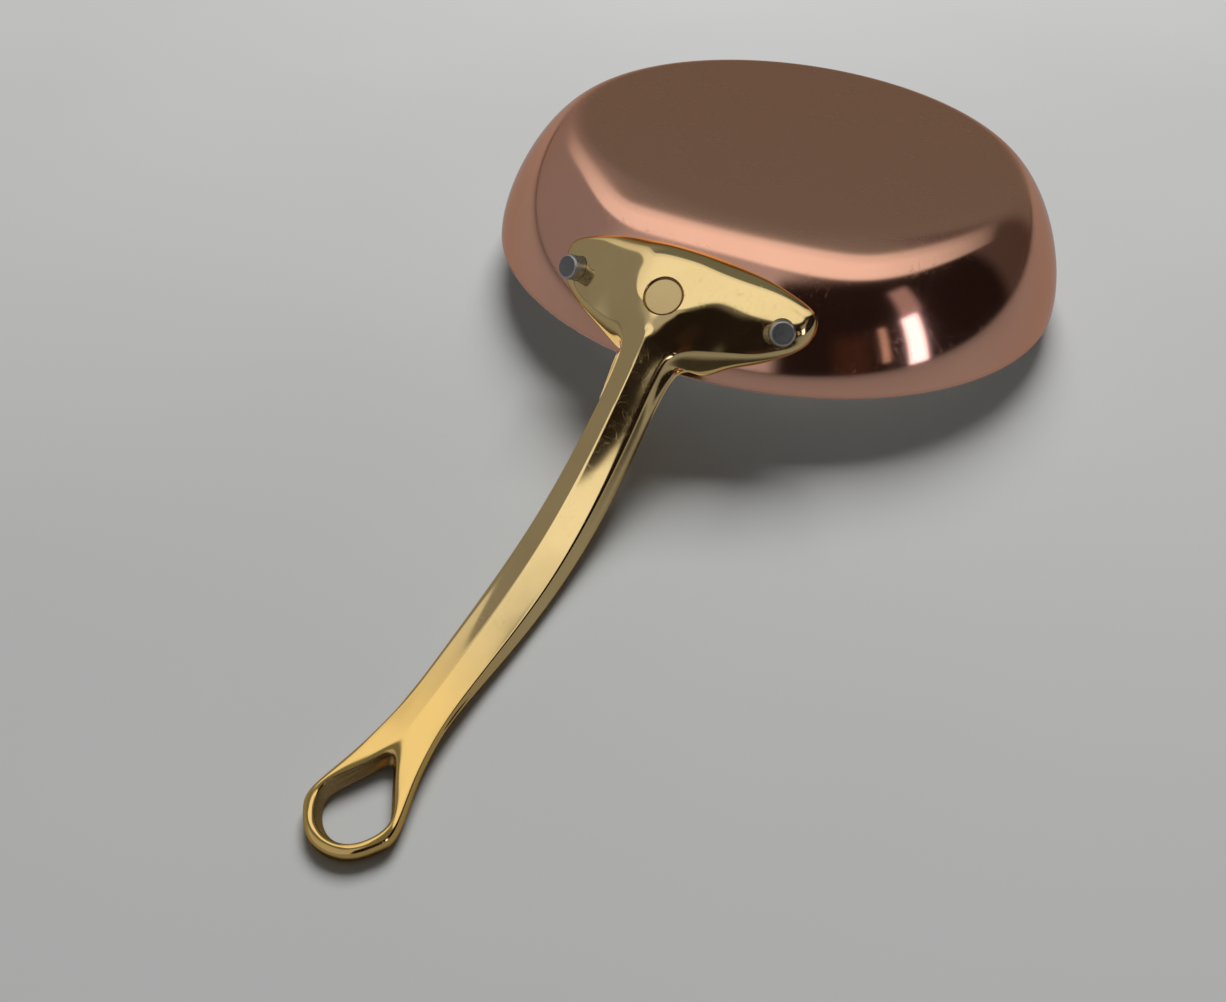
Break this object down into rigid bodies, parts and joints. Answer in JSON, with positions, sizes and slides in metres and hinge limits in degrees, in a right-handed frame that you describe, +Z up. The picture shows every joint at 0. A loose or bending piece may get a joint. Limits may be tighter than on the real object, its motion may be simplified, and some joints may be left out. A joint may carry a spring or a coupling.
{
  "type": "frying pan",
  "caption": "Copper frying pan with a flat base, a flared curved wall, a bonded lining and a riveted cast handle that ends in a hanging loop.",
  "frame": {"origin": "middle of the base's flat outer face", "axes": "+X out along the handle, +Z up from the base to the rim, the XZ plane is the plane of symmetry"},
  "size_m": [0.3691, 0.2, 0.0809],
  "materials": {
    "copper": "polished copper wall, satin base",
    "lining_steel": "brushed stainless steel",
    "cast_brass": "polished cast brass",
    "rivet_steel": "dull steel"
  },
  "bodies": {
    "root": {"copper_shell": "copper", "lining": "lining_steel", "handle": "cast_brass", "rivet_left": "rivet_steel", "rivet_right": "rivet_steel"}
  },
  "joints": []
}
